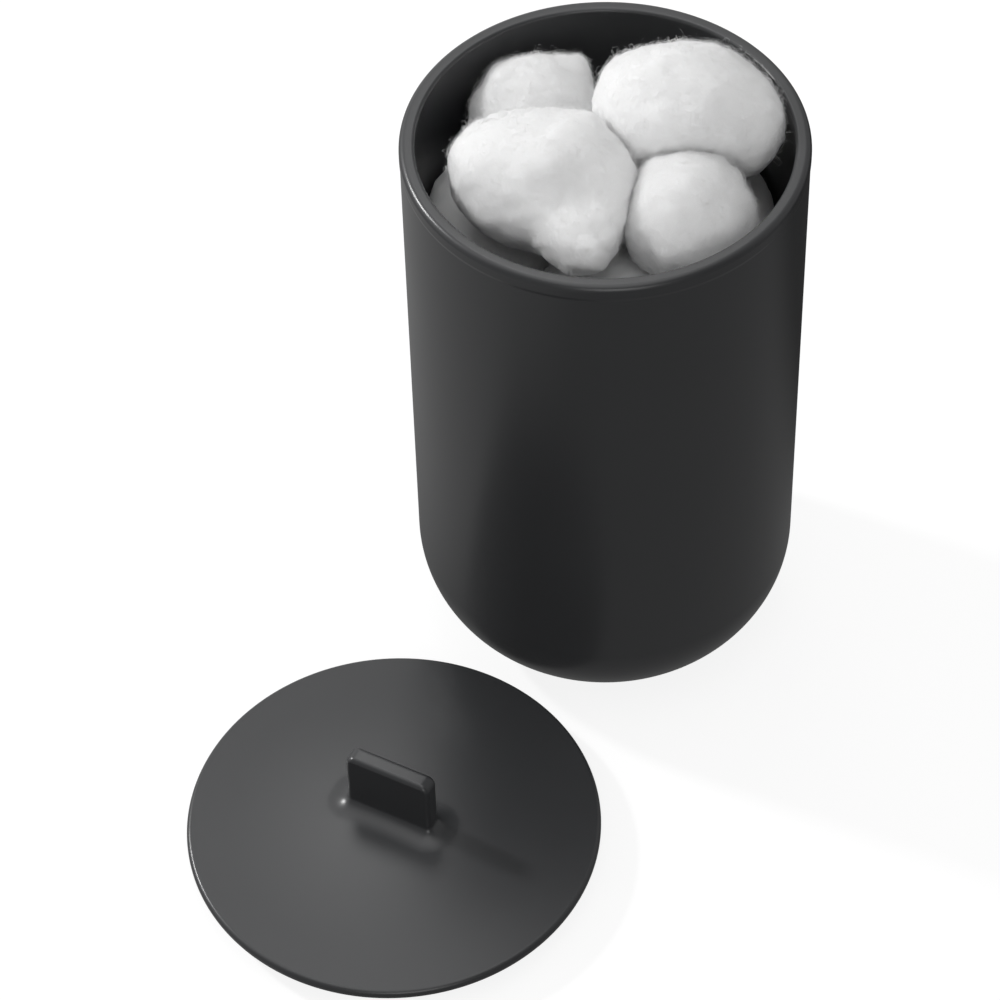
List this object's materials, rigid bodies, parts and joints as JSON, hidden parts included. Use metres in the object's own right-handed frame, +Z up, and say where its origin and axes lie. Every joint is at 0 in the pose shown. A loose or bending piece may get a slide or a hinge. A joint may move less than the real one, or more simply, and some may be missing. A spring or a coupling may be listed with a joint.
{
  "type": "bathroom canister",
  "caption": "Round plastic bathroom canister with a rounded foot, heaped with cotton balls, its domed lid with a tab handle lying beside it.",
  "frame": {"origin": "centre of the cup's flat base, on the surface it stands on", "axes": "+Z up along the cup's axis, +Y away from the viewer, +X to the right"},
  "size_m": [0.1602, 0.1882, 0.1834],
  "materials": {
    "charcoal_plastic": "satin moulded plastic with a very fine even texture",
    "cotton": "loose white cotton fibre"
  },
  "bodies": {
    "root": {"cup": "charcoal_plastic", "lid": "charcoal_plastic", "cotton_ball_1": "cotton", "cotton_ball_2": "cotton", "cotton_ball_3": "cotton", "cotton_ball_4": "cotton", "cotton_ball_5": "cotton", "cotton_ball_6": "cotton", "cotton_ball_7": "cotton", "cotton_ball_8": "cotton", "cotton_ball_9": "cotton", "cotton_ball_10": "cotton", "cotton_ball_11": "cotton", "cotton_ball_12": "cotton", "cotton_ball_13": "cotton", "cotton_ball_14": "cotton", "cotton_ball_15": "cotton", "cotton_ball_16": "cotton"}
  },
  "joints": []
}
